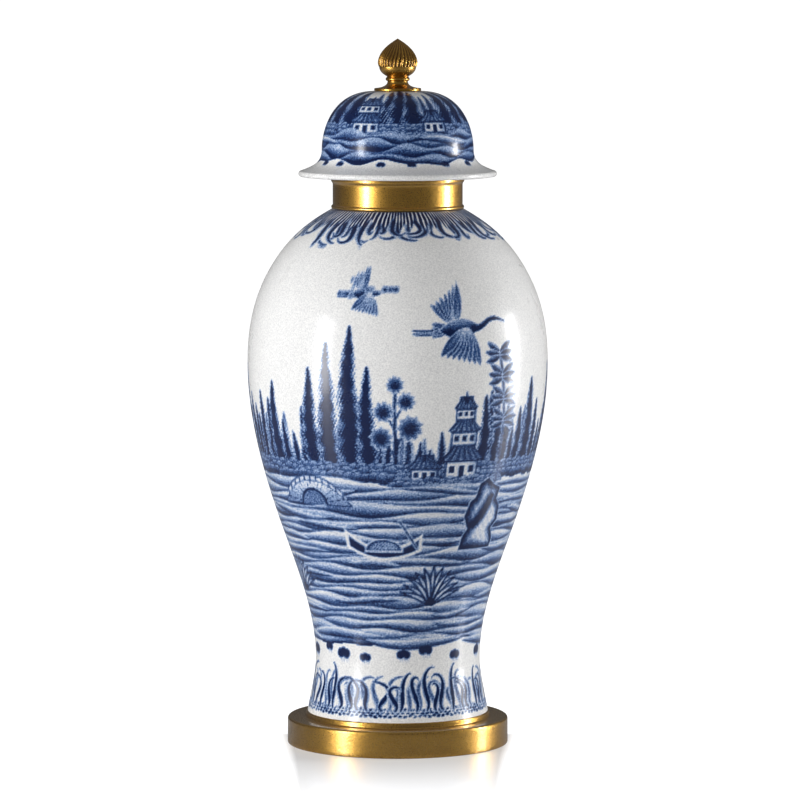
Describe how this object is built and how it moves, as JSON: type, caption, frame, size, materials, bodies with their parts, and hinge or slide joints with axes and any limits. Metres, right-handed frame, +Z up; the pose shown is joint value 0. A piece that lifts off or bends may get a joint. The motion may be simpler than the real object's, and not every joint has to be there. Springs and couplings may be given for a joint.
{
  "type": "ceramic lidded jar",
  "caption": "Tall porcelain baluster jar with a domed lift-off lid, a fluted brass finial, a brass neck band and a round brass plinth.",
  "frame": {"origin": "middle of the plinth's underside, on the surface that the jar stands on", "axes": "+Z up along the axis on which every piece is turned; the front of the jar faces -Y"},
  "size_m": [0.2594, 0.2594, 0.61],
  "materials": {
    "brass": "antique satin",
    "porcelain": "gloss glaze over cobalt painting"
  },
  "bodies": {
    "root": {"plinth": "brass", "jar_body": "porcelain", "neck_band": "brass", "lid": "porcelain", "finial": "brass"}
  },
  "joints": []
}
